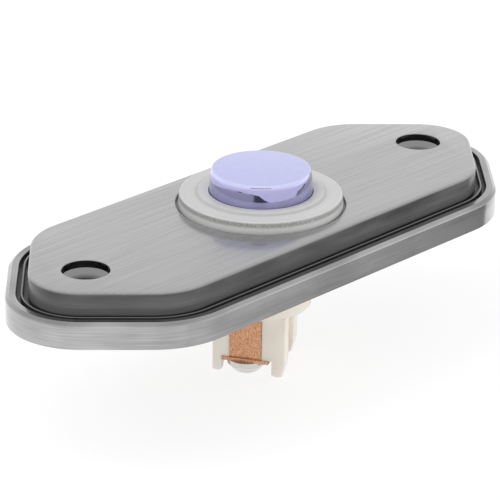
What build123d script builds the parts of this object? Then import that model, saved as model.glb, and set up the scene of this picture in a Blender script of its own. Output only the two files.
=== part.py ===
from build123d import *
import os
from math import sqrt

# Doorbell push button: a stepped cast face plate, a frosted ring that lights up round a plated button,
# and a moulded switch with two screw terminals behind the plate.
# Millimetres. The plate's back lies in the wall plane z = 0, +X runs along the plate and +Z out of its front.

# Face plate
PLATEAU_WIDTH = 29.8
PLATEAU_TIP = 46.2  # from the middle to the point where the two end edges would meet
END_ROUND = 7.4
SIDE_ROUND = 10.0
PLATE_HEIGHT = 7.0
PLATEAU_BEVEL = 0.35  # of the plateau's top edge
INNER_GROOVE = 0.7  # width of the groove at the plateau's foot
BEAD_WIDTH = 0.32
OUTER_GROOVE = 0.62
RIM_WIDTH = 1.5
RIM_HEIGHT = 3.85  # of the bead too
RIM_BEVEL = 0.25  # of the rim's outer edge
OUTER_GROOVE_DEPTH = 1.0
INNER_GROOVE_DEPTH = 0.75
CASTING_WALL = 1.8

# Wall screw holes
SCREW_SPACING = 70.0
SCREW_HOLE = 4.5
COUNTERSINK = 6.7
COUNTERSINK_ANGLE = 90.0
COUNTERBORE_DEPTH = 1.1
BOSS_WALL = 2.6

# Plated cap and its travel
CAP_DIAMETER = 15.0
CAP_STAND = 3.35  # above the ring, at rest
CAP_DRAFT = 0.12
CAP_BEVEL = 0.2
CAP_WALL = 0.7
TRAVEL = 1.5
CAP_CLEARANCE = 0.08  # cap in the ring, on the radius

# Light ring
RING_DIAMETER = 23.9
RING_WALL = 1.65  # height of the outer wall above the plate
RING_TREAD = 2.55
RING_STEP = 0.32
SEAT_DEPTH = 0.5  # of the ring in the plate
SEAT_CLEARANCE = 0.4  # ring in its seat, on the radius
LIP_DEPTH = 0.4  # of the ring's inner lip, below the plate's face
SLEEVE_WALL = 0.8
HOLE_CLEARANCE = 0.1  # sleeve in the plate, on the radius

# Plunger
FLANGE_REACH = 0.8  # past the cap, under the ring's lip
FLANGE_THICKNESS = 1.0
FLANGE_CLEARANCE = 0.1
PLUNGER_WALL = 1.0
STEM_DIAMETER = 4.0
SPIGOT_DIAMETER = 2.36
RIVET_DIAMETER = 3.2
RIVET_HEIGHT = 0.5
SNUG_CLEARANCE = 0.02  # pieces pushed together, on the radius

# Lamp board
BOARD_THICKNESS = 0.8
BOARD_LAND = 0.75  # width of the board inside its pins
CHIP_LENGTH = 1.6
CHIP_WIDTH = 0.8
CHIP_HEIGHT = 0.7
CHIP_HEADROOM = 0.2  # left over the chips when the button is pressed
CHIP_COUNT = 4
CHIP_INSET = 1.4  # of the chips' middles from the ring's sleeve
RESISTOR_LENGTH = 2.0
RESISTOR_WIDTH = 1.25
RESISTOR_HEIGHT = 0.5
PIN_WIDTH = 0.6
PIN_CLEARANCE = 0.35  # contact bridge to pins

# Switch housing
DRILLED_HOLE = 15.9  # in the door frame, for the switch to go through
CORNER_CLEARANCE = 0.15  # terminal block in that hole
CUP_WALL = 1.35
CUP_FLOOR = 1.2
BARREL_DIAMETER = 15.3
BARREL_WALL = 1.35
BARREL_DEPTH = 8.6  # below the wall plane
BARREL_FLOOR = 1.8
BARREL_BEVEL = 0.3
SWITCH_TURN = 28.0  # of the terminal block about the button's axis, from +X
BLOCK_INSET = 2.05  # of the terminal faces from the barrel's outside
BLOCK_HEIGHT = 6.9
BLOCK_WALL = 2.2  # thickness of the two terminal walls
REAR_INSET = 1.0  # by which one end of the rear wall is drawn in
CORE_WIDTH = 6.6
LEG_WIDTH = 1.3
WIDE_LEG_WIDTH = 1.95
LEG_LENGTH = 2.5
LEG_TIP = 0.9  # thickness of a leg at its end
LEAD_IN = 0.45  # slope on the outer sides of two legs, and its height
LEAD_IN_HEIGHT = 2.1
LEG_EDGE = 0.35  # bevel round the end of a leg

# Terminals, contact bridge and spring
STRIP_THICKNESS = 0.5
STRIP_WIDTH = 4.8
STRIP_PROUD = 0.1  # of the terminal face
STRIP_BEND = 0.7
STRIP_CLEARANCE = 0.05
TERMINAL_SHIFT = 0.5  # of both terminals to one side of the button's axis
FINGER_WIDTH = 3.0
FINGER_CLEARANCE = 0.4  # contact fingers to spring
TAB_CLEARANCE = 0.13  # screw tabs to legs
TAB_TIP = 0.9  # from the button's axis
TAB_PROUD = 0.1  # of the strip
BRIDGE_WIDTH = 3.4
BRIDGE_THICKNESS = 0.5
CONTACT_GAP = 0.02  # left between bridge and fingers at full travel
SPRING_HEIGHT = 4.0
SPRING_DIAMETER = 4.4
SPRING_WIRE = 0.4
SPRING_TURNS = 3.5
WIRE_SIDES = 5  # the round wire is drawn with flats

# Terminal screws
SCREW_HEAD = 5.8
SCREW_HEAD_HEIGHT = 2.3
SCREW_HEAD_SIDE = 0.8  # height of the straight part of the head
SCREW_CROWN = 3.8  # across the flat top of the head
SCREW_THREAD = 2.5
SCREW_LENGTH = 6.0
SCREW_WALL = 0.33  # between the screw hole and the copper strip
SCREW_SHIFT = 0.3  # further to the terminals' side
RECESS_LENGTH = 2.8
RECESS_WIDTH = 0.7
RECESS_DEPTH = 0.9

# Outlines of the plate's steps, as distances outside the plateau
bead_inner = INNER_GROOVE
bead_outer = bead_inner + BEAD_WIDTH
rim_inner = bead_outer + OUTER_GROOVE
rim_outer = rim_inner + RIM_WIDTH
outer_groove_floor = RIM_HEIGHT - OUTER_GROOVE_DEPTH
inner_groove_floor = RIM_HEIGHT - INNER_GROOVE_DEPTH
rim_hollow = outer_groove_floor - CASTING_WALL
plate_underside = PLATE_HEIGHT - CASTING_WALL
seat_floor = PLATE_HEIGHT - SEAT_DEPTH

# Radii about the button's axis, from the cap outwards
cap_radius = CAP_DIAMETER / 2
lip_radius = cap_radius + CAP_CLEARANCE
hub_radius = cap_radius - CAP_WALL - SNUG_CLEARANCE
flange_radius = cap_radius + FLANGE_REACH
sleeve_bore = flange_radius + FLANGE_CLEARANCE
sleeve_radius = sleeve_bore + SLEEVE_WALL
ring_radius = RING_DIAMETER / 2
cup_bore = sleeve_radius + SNUG_CLEARANCE
cup_radius = cup_bore + CUP_WALL
barrel_radius = BARREL_DIAMETER / 2
barrel_bore = barrel_radius - BARREL_WALL
spigot_radius = SPIGOT_DIAMETER / 2
stem_radius = STEM_DIAMETER / 2
rivet_radius = RIVET_DIAMETER / 2
chip_radius = sleeve_bore - CHIP_INSET

# Heights, from the front to the back
tread_height = PLATE_HEIGHT + RING_WALL
ring_top = tread_height + RING_STEP
cap_top = ring_top + CAP_STAND
lip_bottom = PLATE_HEIGHT - LIP_DEPTH
flange_bottom = lip_bottom - FLANGE_THICKNESS
hub_top = cap_top - CAP_WALL
board_top = flange_bottom - TRAVEL - CHIP_HEADROOM - CHIP_HEIGHT
board_bottom = board_top - BOARD_THICKNESS
barrel_bottom = -BARREL_DEPTH
floor_top = barrel_bottom + BARREL_FLOOR
bridge_bottom = floor_top + SPRING_HEIGHT
bridge_top = bridge_bottom + BRIDGE_THICKNESS
finger_top = bridge_bottom - TRAVEL - CONTACT_GAP
block_bottom = barrel_bottom - BLOCK_HEIGHT
leg_bottom = block_bottom - LEG_LENGTH
tab_bottom = block_bottom - STRIP_THICKNESS

# The terminal block: distances out from the button's axis, then distances to either side of it
block_face = barrel_radius - BLOCK_INSET
wall_back = block_face - BLOCK_WALL
strip_face = block_face + STRIP_PROUD
strip_middle = strip_face - STRIP_THICKNESS / 2
strip_back = strip_face - STRIP_THICKNESS
tab_front = strip_face + TAB_PROUD
thread_radius = SCREW_THREAD / 2
screw_hole_radius = thread_radius + SNUG_CLEARANCE
screw_out = strip_back - SCREW_WALL - screw_hole_radius
pin_out = strip_middle - STRIP_BEND - PIN_WIDTH / 2
board_bore = pin_out - PIN_WIDTH / 2 - BOARD_LAND
bridge_end = pin_out - PIN_WIDTH / 2 - PIN_CLEARANCE
finger_tip = SPRING_DIAMETER / 2 + FINGER_CLEARANCE
block_side = sqrt((DRILLED_HOLE / 2 - CORNER_CLEARANCE) ** 2 - block_face**2)
rear_side = block_side - REAR_INSET
tab_width = 2 * (block_side - LEG_WIDTH - TERMINAL_SHIFT - TAB_CLEARANCE)
TERMINAL_ANGLES = {"front": SWITCH_TURN + 180, "rear": SWITCH_TURN}


def outward(angle):
    """Level direction at an angle from +X."""
    return Vector(1, 0, 0).rotate(Axis.Z, angle)


# The side of the block that both terminals are shifted to
terminal_side = outward(SWITCH_TURN + 90)
shift = terminal_side * TERMINAL_SHIFT


def section_plane(angle):
    """Upright plane through the middle of a terminal: x outwards, y upwards."""
    return Plane(origin=shift, x_dir=outward(angle), z_dir=outward(angle - 90))


def face_plane(angle):
    """Upright plane seen from outside a terminal, with its middle at x = 0 and y upwards."""
    return Plane(origin=shift, x_dir=outward(angle + 90), z_dir=outward(angle))


def plan_plane(angle, height):
    """Level plane at a height, with x towards a terminal and its middle at y = 0."""
    return Plane(origin=shift + Vector(0, 0, height), x_dir=outward(angle))


def screw_point(angle, height):
    """Point on the axis of a terminal's screw."""
    return outward(angle) * screw_out + terminal_side * (TERMINAL_SHIFT + SCREW_SHIFT) + Vector(0, 0, height)


def plate_outline(grow):
    """Pointed outline of the plateau, grown outwards, as a sketch to add."""
    half_width = PLATEAU_WIDTH / 2 + grow
    tip = PLATEAU_TIP + grow * sqrt(2)
    shoulder = tip - half_width
    corners = [
        (-tip, 0),
        (-shoulder, -half_width),
        (shoulder, -half_width),
        (tip, 0),
        (shoulder, half_width),
        (-shoulder, half_width),
    ]
    rounds = [END_ROUND + grow, SIDE_ROUND + grow, SIDE_ROUND + grow] * 2
    with BuildSketch(mode=Mode.PRIVATE) as outline:
        with BuildLine():
            FilletPolyline(*corners, radius=rounds, close=True)
        make_face()
    return outline.sketch


def save(piece, name):
    """Label a finished piece and write it."""
    piece.part.label = name
    export_step(piece.part, f"parts/{name}.step")


os.makedirs("parts", exist_ok=True)

# Face plate: rim, groove, bead, groove and plateau in steps, over a hollow back
with BuildPart() as face_plate:
    with BuildSketch():
        add(plate_outline(rim_outer))
    extrude(amount=RIM_HEIGHT)
    chamfer(face_plate.edges().group_by(Axis.Z)[-1], RIM_BEVEL)
    # Two grooves that leave a bead standing between them
    with BuildSketch(Plane.XY.offset(RIM_HEIGHT)):
        add(plate_outline(rim_inner))
        add(plate_outline(bead_outer), mode=Mode.SUBTRACT)
    extrude(amount=-OUTER_GROOVE_DEPTH, mode=Mode.SUBTRACT)
    with BuildSketch(Plane.XY.offset(RIM_HEIGHT)):
        add(plate_outline(bead_inner))
    extrude(amount=-INNER_GROOVE_DEPTH, mode=Mode.SUBTRACT)
    # Plateau inside the inner groove
    with BuildSketch(Plane.XY.offset(inner_groove_floor)):
        add(plate_outline(0))
    extrude(amount=PLATE_HEIGHT - inner_groove_floor)
    chamfer(face_plate.edges().group_by(Axis.Z)[-1], PLATEAU_BEVEL)
    # Hollow back in two levels, which keeps the casting's wall even
    with BuildSketch():
        add(plate_outline(rim_outer - CASTING_WALL))
    extrude(amount=rim_hollow, mode=Mode.SUBTRACT)
    with BuildSketch(Plane.XY.offset(rim_hollow)):
        add(plate_outline(-CASTING_WALL))
    extrude(amount=plate_underside - rim_hollow, mode=Mode.SUBTRACT)
    # Bosses that carry the screw holes down to the wall
    with BuildSketch():
        with GridLocations(SCREW_SPACING, 0, 2, 1):
            Circle(SCREW_HOLE / 2 + BOSS_WALL)
    extrude(amount=plate_underside)
    with BuildSketch(Plane.XY.offset(PLATE_HEIGHT)):
        with GridLocations(SCREW_SPACING, 0, 2, 1):
            Circle(COUNTERSINK / 2)
    extrude(amount=-COUNTERBORE_DEPTH, mode=Mode.SUBTRACT)
    with Locations(Plane.XY.offset(PLATE_HEIGHT - COUNTERBORE_DEPTH)):
        with GridLocations(SCREW_SPACING, 0, 2, 1):
            CounterSinkHole(SCREW_HOLE / 2, COUNTERSINK / 2, counter_sink_angle=COUNTERSINK_ANGLE)
    # Seat for the ring, and a hole for its sleeve
    with BuildSketch(Plane.XY.offset(PLATE_HEIGHT)):
        Circle(ring_radius + SEAT_CLEARANCE)
    extrude(amount=-SEAT_DEPTH, mode=Mode.SUBTRACT)
    with BuildSketch(Plane.XY.offset(plate_underside)):
        Circle(sleeve_radius + HOLE_CLEARANCE)
    extrude(amount=CASTING_WALL, mode=Mode.SUBTRACT)
save(face_plate, "face_plate")

# Light ring: stepped lens seated in the plate, an inner lip over the plunger and a sleeve through the plate
tread_inner = ring_radius - RING_TREAD
with BuildPart() as light_ring:
    with BuildSketch(Plane.XZ):
        with BuildLine():
            Polyline(
                (lip_radius, ring_top),
                (lip_radius, lip_bottom),
                (sleeve_bore, lip_bottom),
                (sleeve_bore, board_top),
                (sleeve_radius, board_top),
                (sleeve_radius, seat_floor),
                (ring_radius, seat_floor),
                (ring_radius, tread_height),
                (tread_inner, tread_height),
                (tread_inner - RING_STEP, ring_top),
                close=True,
            )
        make_face()
    revolve(axis=Axis.Z)
save(light_ring, "light_ring")

# Plated cap, a thin cup pushed over the plunger's hub
with BuildPart() as button_cap:
    with BuildSketch(Plane.XZ):
        with BuildLine():
            Polyline(
                (0, cap_top),
                (0, hub_top),
                (cap_radius - CAP_WALL, hub_top),
                (cap_radius - CAP_WALL, lip_bottom),
                (cap_radius, lip_bottom),
                (cap_radius, ring_top),
                (cap_radius - CAP_DRAFT, cap_top - CAP_BEVEL),
                (cap_radius - CAP_DRAFT - CAP_BEVEL, cap_top),
                close=True,
            )
        make_face()
    revolve(axis=Axis.Z)
save(button_cap, "button_cap")

# Plunger: hub inside the cap, flange under the ring's lip, stem and riveted tip
with BuildPart() as plunger:
    with BuildSketch(Plane.XZ):
        with BuildLine():
            Polyline(
                (0, hub_top),
                (hub_radius, hub_top),
                (hub_radius, lip_bottom),
                (flange_radius, lip_bottom),
                (flange_radius, flange_bottom),
                (hub_radius - PLUNGER_WALL, flange_bottom),
                (hub_radius - PLUNGER_WALL, hub_top - PLUNGER_WALL),
                (stem_radius, hub_top - PLUNGER_WALL),
                (stem_radius, bridge_top),
                (spigot_radius, bridge_top),
                (spigot_radius, bridge_bottom),
                (rivet_radius, bridge_bottom),
                (rivet_radius, bridge_bottom - RIVET_HEIGHT),
                (0, bridge_bottom - RIVET_HEIGHT),
                close=True,
            )
        make_face()
    revolve(axis=Axis.Z)
save(plunger, "plunger")

# Contact bridge, a copper bar that the plunger's tip is riveted through
with BuildPart() as contact_bridge:
    with BuildSketch(Plane.XY.offset(bridge_bottom).rotated((0, 0, SWITCH_TURN))):
        SlotOverall(2 * bridge_end, BRIDGE_WIDTH)
        Circle(spigot_radius + SNUG_CLEARANCE, mode=Mode.SUBTRACT)
    extrude(amount=BRIDGE_THICKNESS)
save(contact_bridge, "contact_bridge")

# Return spring, between the barrel's floor and the bridge
wire_travel = SPRING_HEIGHT - SPRING_WIRE - 2 * SNUG_CLEARANCE
with BuildPart() as return_spring:
    with BuildLine():
        coil = Helix(
            pitch=wire_travel / SPRING_TURNS,
            height=wire_travel,
            radius=(SPRING_DIAMETER - SPRING_WIRE) / 2,
            center=(0, 0, floor_top + SPRING_WIRE / 2 + SNUG_CLEARANCE),
        )
    with BuildSketch(Plane(origin=coil @ 0, z_dir=coil % 0)):
        RegularPolygon(SPRING_WIRE / 2, WIRE_SIDES)
    sweep(is_frenet=True)
save(return_spring, "return_spring")

# Switch housing: cup against the plate, barrel through the wall, and the terminal block with its legs
with BuildPart() as switch_housing:
    with BuildSketch(Plane.XZ):
        with BuildLine():
            Polyline(
                (0, floor_top),
                (0, barrel_bottom),
                (barrel_radius - BARREL_BEVEL, barrel_bottom),
                (barrel_radius, barrel_bottom + BARREL_BEVEL),
                (barrel_radius, board_bottom - CUP_FLOOR),
                (cup_radius, board_bottom - CUP_FLOOR),
                (cup_radius, plate_underside),
                (cup_bore, plate_underside),
                (cup_bore, board_bottom),
                (barrel_bore, board_bottom),
                (barrel_bore, floor_top),
                close=True,
            )
        make_face()
    revolve(axis=Axis.Z)
    # Two terminal walls with a core between them; y runs to the terminals' side
    with BuildSketch(Plane.XY.offset(block_bottom).rotated((0, 0, SWITCH_TURN))):
        with Locations((-block_face, -block_side)):
            Rectangle(BLOCK_WALL, 2 * block_side, align=(Align.MIN, Align.MIN))
        with Locations((wall_back, -rear_side)):
            Rectangle(BLOCK_WALL, rear_side + block_side, align=(Align.MIN, Align.MIN))
        Rectangle(2 * block_face - BLOCK_WALL, CORE_WIDTH)
    extrude(amount=BLOCK_HEIGHT)
    # Legs: one long face upright, the other sloped to a thin tip
    legs = [
        (-block_face, block_side, -LEG_WIDTH),
        (-block_face, -block_side, WIDE_LEG_WIDTH),
        (wall_back, block_side, -LEG_WIDTH),
        (wall_back, -rear_side, LEG_WIDTH),
    ]
    for leg_start, leg_side, leg_width in legs:
        leg_plane = Plane(terminal_side * leg_side, x_dir=outward(SWITCH_TURN), z_dir=-terminal_side)
        with BuildSketch(leg_plane):
            with BuildLine():
                Polyline(
                    (leg_start, block_bottom),
                    (leg_start, leg_bottom),
                    (leg_start + LEG_TIP, leg_bottom),
                    (leg_start + BLOCK_WALL, block_bottom),
                    close=True,
                )
            make_face()
        extrude(amount=-leg_width)
    for leg_start, leg_side in ((-block_face, -block_side), (wall_back, -rear_side)):
        slope_plane = Plane(outward(SWITCH_TURN) * leg_start, x_dir=terminal_side, z_dir=outward(SWITCH_TURN))
        with BuildSketch(slope_plane):
            with BuildLine():
                Polyline(
                    (leg_side, leg_bottom),
                    (leg_side + LEAD_IN, leg_bottom),
                    (leg_side, leg_bottom + LEAD_IN_HEIGHT),
                    close=True,
                )
            make_face()
        extrude(amount=BLOCK_WALL, mode=Mode.SUBTRACT)
    chamfer(switch_housing.edges().group_by(Axis.Z)[0], LEG_EDGE)
    for angle in TERMINAL_ANGLES.values():
        # Slot through the barrel's floor and shallow channel down the block for the copper strip
        with BuildSketch(plan_plane(angle, barrel_bottom)):
            with Locations((strip_middle, 0)):
                Rectangle(STRIP_THICKNESS + 2 * STRIP_CLEARANCE, FINGER_WIDTH + 2 * STRIP_CLEARANCE)
        extrude(amount=BARREL_FLOOR, mode=Mode.SUBTRACT)
        with BuildSketch(plan_plane(angle, block_bottom)):
            with Locations((strip_face, 0)):
                Rectangle(2 * STRIP_THICKNESS, STRIP_WIDTH + 2 * STRIP_CLEARANCE)
        extrude(amount=BLOCK_HEIGHT, mode=Mode.SUBTRACT)
        channel_foot = plan_plane(angle, block_bottom).from_local_coords(Vector(strip_back, 0, 0))
        chamfer(switch_housing.edges().sort_by_distance(channel_foot)[0], STRIP_BEND)
        # Hole for the terminal screw
        with BuildSketch(Plane(screw_point(angle, block_bottom))):
            Circle(screw_hole_radius)
        extrude(amount=SCREW_LENGTH, mode=Mode.SUBTRACT)
save(switch_housing, "switch_housing")

# Two copper terminals: contact finger in the barrel, strip down the block, screw tab under it
for side, angle in TERMINAL_ANGLES.items():
    with BuildPart() as terminal:
        with BuildSketch(section_plane(angle)):
            with BuildLine():
                FilletPolyline(
                    (TAB_TIP, tab_bottom + STRIP_THICKNESS / 2),
                    (strip_middle, tab_bottom + STRIP_THICKNESS / 2),
                    (strip_middle, finger_top - STRIP_THICKNESS / 2),
                    (finger_tip, finger_top - STRIP_THICKNESS / 2),
                    radius=STRIP_BEND,
                )
            trace(line_width=STRIP_THICKNESS)
        extrude(amount=STRIP_WIDTH / 2, both=True)
        # Trim to the outline seen from outside: strip below, narrow finger above
        with BuildSketch(face_plane(angle)):
            with Locations((0, tab_bottom)):
                Rectangle(STRIP_WIDTH, barrel_bottom - tab_bottom, align=(Align.CENTER, Align.MIN))
                Rectangle(FINGER_WIDTH, finger_top - tab_bottom, align=(Align.CENTER, Align.MIN))
        extrude(amount=strip_face, mode=Mode.INTERSECT)
        # Wide tab across the strip's foot, for the wire and its screw
        with BuildSketch(plan_plane(angle, tab_bottom)):
            with Locations((TAB_TIP, 0)):
                Rectangle(tab_front - TAB_TIP, tab_width, align=(Align.MIN, Align.CENTER))
        extrude(amount=STRIP_THICKNESS)
        with BuildSketch(Plane(screw_point(angle, tab_bottom))):
            Circle(screw_hole_radius)
        extrude(amount=STRIP_THICKNESS + STRIP_BEND, mode=Mode.SUBTRACT)
    save(terminal, f"{side}_terminal")

# Terminal screws, driven up through the tabs
head_radius = SCREW_HEAD / 2
with BuildPart() as terminal_screws:
    for angle in TERMINAL_ANGLES.values():
        seat_point = screw_point(angle, tab_bottom)
        with BuildSketch(Plane(seat_point, x_dir=outward(angle), z_dir=outward(angle - 90))):
            with BuildLine():
                Polyline(
                    (0, -SCREW_HEAD_HEIGHT),
                    (0, SCREW_LENGTH),
                    (thread_radius, SCREW_LENGTH),
                    (thread_radius, 0),
                    (head_radius, 0),
                    (head_radius, -SCREW_HEAD_SIDE),
                    (SCREW_CROWN / 2, -SCREW_HEAD_HEIGHT),
                    close=True,
                )
            make_face()
        revolve(axis=Axis(seat_point, (0, 0, 1)))
        # Cross recess
        with BuildSketch(Plane(screw_point(angle, tab_bottom - SCREW_HEAD_HEIGHT), x_dir=outward(angle))):
            Rectangle(RECESS_LENGTH, RECESS_WIDTH)
            Rectangle(RECESS_WIDTH, RECESS_LENGTH)
        extrude(amount=RECESS_DEPTH, mode=Mode.SUBTRACT)
save(terminal_screws, "terminal_screws")

# Lamp board, clamped between the cup's floor and the ring's sleeve
with BuildPart() as lamp_board:
    with BuildSketch(Plane.XY.offset(board_bottom)):
        Circle(sleeve_radius)
        Circle(board_bore, mode=Mode.SUBTRACT)
    extrude(amount=BOARD_THICKNESS)
save(lamp_board, "lamp_board")

# Light chips round the board, with a resistor between two of them
with BuildPart() as lamp_chips:
    with BuildSketch(Plane.XY.offset(board_top)):
        with PolarLocations(chip_radius, CHIP_COUNT):
            Rectangle(CHIP_WIDTH, CHIP_LENGTH)
    extrude(amount=CHIP_HEIGHT)
save(lamp_chips, "lamp_chips")

with BuildPart() as lamp_resistor:
    with BuildSketch(Plane.XY.offset(board_top)):
        with PolarLocations(chip_radius, 1, start_angle=180 / CHIP_COUNT):
            Rectangle(RESISTOR_WIDTH, RESISTOR_LENGTH)
    extrude(amount=RESISTOR_HEIGHT)
save(lamp_resistor, "lamp_resistor")

# Pins that feed the board from the two contact fingers
with BuildPart() as board_pins:
    for angle in TERMINAL_ANGLES.values():
        with BuildSketch(plan_plane(angle, finger_top)):
            with Locations((pin_out, 0)):
                Rectangle(PIN_WIDTH, PIN_WIDTH)
        extrude(amount=board_bottom - finger_top)
save(board_pins, "board_pins")
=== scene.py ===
import math

import bmesh
import bpy
from mathutils import Matrix, Vector


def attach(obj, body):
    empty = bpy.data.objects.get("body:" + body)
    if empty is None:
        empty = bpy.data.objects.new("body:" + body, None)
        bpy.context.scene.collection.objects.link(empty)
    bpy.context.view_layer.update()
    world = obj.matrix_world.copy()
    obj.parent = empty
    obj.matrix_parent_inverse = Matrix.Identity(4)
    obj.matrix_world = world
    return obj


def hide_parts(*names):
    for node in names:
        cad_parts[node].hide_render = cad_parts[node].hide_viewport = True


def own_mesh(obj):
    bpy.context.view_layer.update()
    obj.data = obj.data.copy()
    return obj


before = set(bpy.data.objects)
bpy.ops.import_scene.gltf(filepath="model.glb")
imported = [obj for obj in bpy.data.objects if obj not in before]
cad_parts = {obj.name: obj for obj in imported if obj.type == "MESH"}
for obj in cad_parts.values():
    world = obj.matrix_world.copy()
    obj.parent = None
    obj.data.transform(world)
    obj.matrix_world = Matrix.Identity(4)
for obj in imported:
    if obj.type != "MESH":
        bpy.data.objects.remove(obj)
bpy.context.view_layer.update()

# Sizes in millimetres, in the frame of the solids: +X along the plate, +Z out of the wall
MM = 0.001

# Face plate
PLATEAU_HALF_WIDTH = 14.9
PLATEAU_TIP = 46.2  # where the two end edges would meet
END_ROUND = 7.4
SIDE_ROUND = 10.0
PLATE_HEIGHT = 7.0
RIM_HEIGHT = 3.85  # of the bead too
RIM_WIDTH = 1.5
OUTER_GROOVE = 0.62
OUTER_GROOVE_DEPTH = 1.0
BEAD_WIDTH = 0.32
INNER_GROOVE = 0.7
INNER_GROOVE_DEPTH = 0.75
CASTING_WALL = 1.8
SHOULDER_PROFILE = 0.548  # makes the bevel of a 135 degree corner a true arc
RIM_WEAR = 0.55  # sizes of the worn edges
GROOVE_WEAR = 0.14
BEAD_WEAR = 0.12
PLATEAU_WEAR = 0.4

# Screw holes and the ring's seat in the plate
SCREW_PLACE = 35.0
SCREW_HOLE_RADIUS = 2.25
COUNTERSINK_RADIUS = 3.35
COUNTERSINK_TOP = 5.9
BOSS_RADIUS = 4.85
BOSS_TOP = 5.6  # within the plateau's thickness
SEAT_RADIUS = 12.35
SEAT_FLOOR = 6.5
SLEEVE_HOLE_RADIUS = 9.3
SLEEVE_HOLE_BOTTOM = 4.0  # in the hollow behind the plate
EDGE_BREAK = 0.08  # bevel round the mouths
OVERCUT = 0.5  # by which a cutting tool stands out of the plate

# Light ring
RING_RADIUS = 11.95
RING_TAPER = 0.1
TREAD_HEIGHT = 8.65
TREAD_INNER_RADIUS = 9.4
RING_TOP = 8.97
RING_TOP_RADIUS = 9.08
LIP_RADIUS = 7.58
LIP_BOTTOM = 6.6
SLEEVE_BORE = 8.4
SLEEVE_RADIUS = 9.2
SLEEVE_BOTTOM = 3.2

# Cap
CAP_RADIUS = 7.5
CAP_TOP = 12.32
CAP_FLAT_RADIUS = 7.12
CAP_SHOULDER_RADIUS = 7.36
CAP_SHOULDER_HEIGHT = 11.42
CAP_WALL = 0.7

# Return spring
SPRING_FLOOR = -6.8
SPRING_TOP = -2.8
SPRING_RADIUS = 2.0  # to the middle of the wire
SPRING_TURNS = 3.5
SPRING_CLEARANCE = 0.02  # at each end
WIRE_RADIUS = 0.2

# Terminal screws; their heads are measured down from the underside of the tabs
SWITCH_TURN = 28.0  # of the terminal block about the button's axis, in degrees
TERMINAL_SCREW_OUT = 3.6
TERMINAL_SCREW_SIDE = 0.8
TAB_BOTTOM = -16.0
HEAD_RADIUS = 2.9
HEAD_HEIGHT = 2.3
HEAD_SIDE = 0.8
HEAD_CROWN_RADIUS = 1.6
HEAD_CREASE_RADIUS = 2.72
HEAD_CREASE_DEPTH = 0.9
THREAD_RADIUS = 1.25
THREAD_LENGTH = 6.0
RECESS_HALF_LENGTH = 1.45  # of the cutting blade at its wide end
RECESS_HALF_WIDTH = 0.36
RECESS_DEPTH = 0.9
RECESS_FLOOR_LENGTH = 0.5  # as a share of the wide end
RECESS_FLOOR_WIDTH = 0.7
RECESS_ZONE_RADIUS = 1.55  # a face with its middle in this zone belongs to the recess
RECESS_ZONE_BOTTOM = 2.05
RECESS_ZONE_TOP = 0.5

# Edges: rounds of the moulded and stamped pieces, and what counts as sharp or smooth
MOULDED_EDGE = 0.15
STAMPED_EDGE = 0.1
SHARP_ANGLE = 40.0  # degrees from which an edge is rounded
SMOOTH_ANGLE = 32.0  # degrees up to which an edge is shaded smooth

# Stage and camera
FLOOR_HEIGHT = -18.35
FLOOR_SIZE = 4000.0
SOFTBOX_SIZE = 400.0
SWITCH_AIM = (0, 0, -10)
CAMERA_PLACE = (-299.766, -277.982, 172.181)
CAMERA_AIM = (-1.126, 0.930, -0.445)
CAMERA_ROLL = 0.8374  # degrees
LENS = 219.508
SENSOR_WIDTH = 36.0

# Outlines of the plate's steps, as distances outside the plateau
bead_inner = INNER_GROOVE
bead_outer = bead_inner + BEAD_WIDTH
rim_inner = bead_outer + OUTER_GROOVE
rim_outer = rim_inner + RIM_WIDTH

# Heights of the two levels of the hollow behind the plate
rim_hollow = RIM_HEIGHT - OUTER_GROOVE_DEPTH - CASTING_WALL
plate_underside = PLATE_HEIGHT - CASTING_WALL


def linear(code):
    """Linear colour of an sRGB hex code."""
    channels = [int(code[start:start + 2], 16) / 255 for start in (0, 2, 4)]
    return [c / 12.92 if c <= 0.04045 else ((c + 0.055) / 1.055) ** 2.4 for c in channels] + [1.0]


def feed(tree, node, inputs):
    """Give each input of a node a value, or the socket that feeds it."""
    for name, value in inputs.items():
        if isinstance(value, bpy.types.NodeSocket):
            tree.links.new(value, node.inputs[name])
        else:
            node.inputs[name].default_value = value


def add(tree, kind, inputs=None, **settings):
    """Add a node with its settings and links, and return its outputs."""
    node = tree.nodes.new(kind)
    for name, value in settings.items():
        setattr(node, name, value)
    feed(tree, node, inputs or {})
    return node.outputs


def start_material(name):
    """New material with a Principled shader; returns the material, its tree, the shader and the place."""
    material = bpy.data.materials.new(name)
    material.use_nodes = True
    tree = material.node_tree
    place = add(tree, "ShaderNodeTexCoord")["Object"]
    return material, tree, tree.nodes["Principled BSDF"], place


def height_and_reach(tree, place):
    """Height above the wall and distance from the button's axis, in millimetres."""
    axes = add(tree, "ShaderNodeSeparateXYZ", {"Vector": place})
    flat = add(tree, "ShaderNodeCombineXYZ", {"X": axes["X"], "Y": axes["Y"]})[0]
    reach = add(tree, "ShaderNodeVectorMath", {0: flat}, operation="LENGTH")["Value"]
    height = add(tree, "ShaderNodeMath", {0: axes["Z"], 1: MM}, operation="DIVIDE")[0]
    return height, add(tree, "ShaderNodeMath", {0: reach, 1: MM}, operation="DIVIDE")[0]


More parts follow.
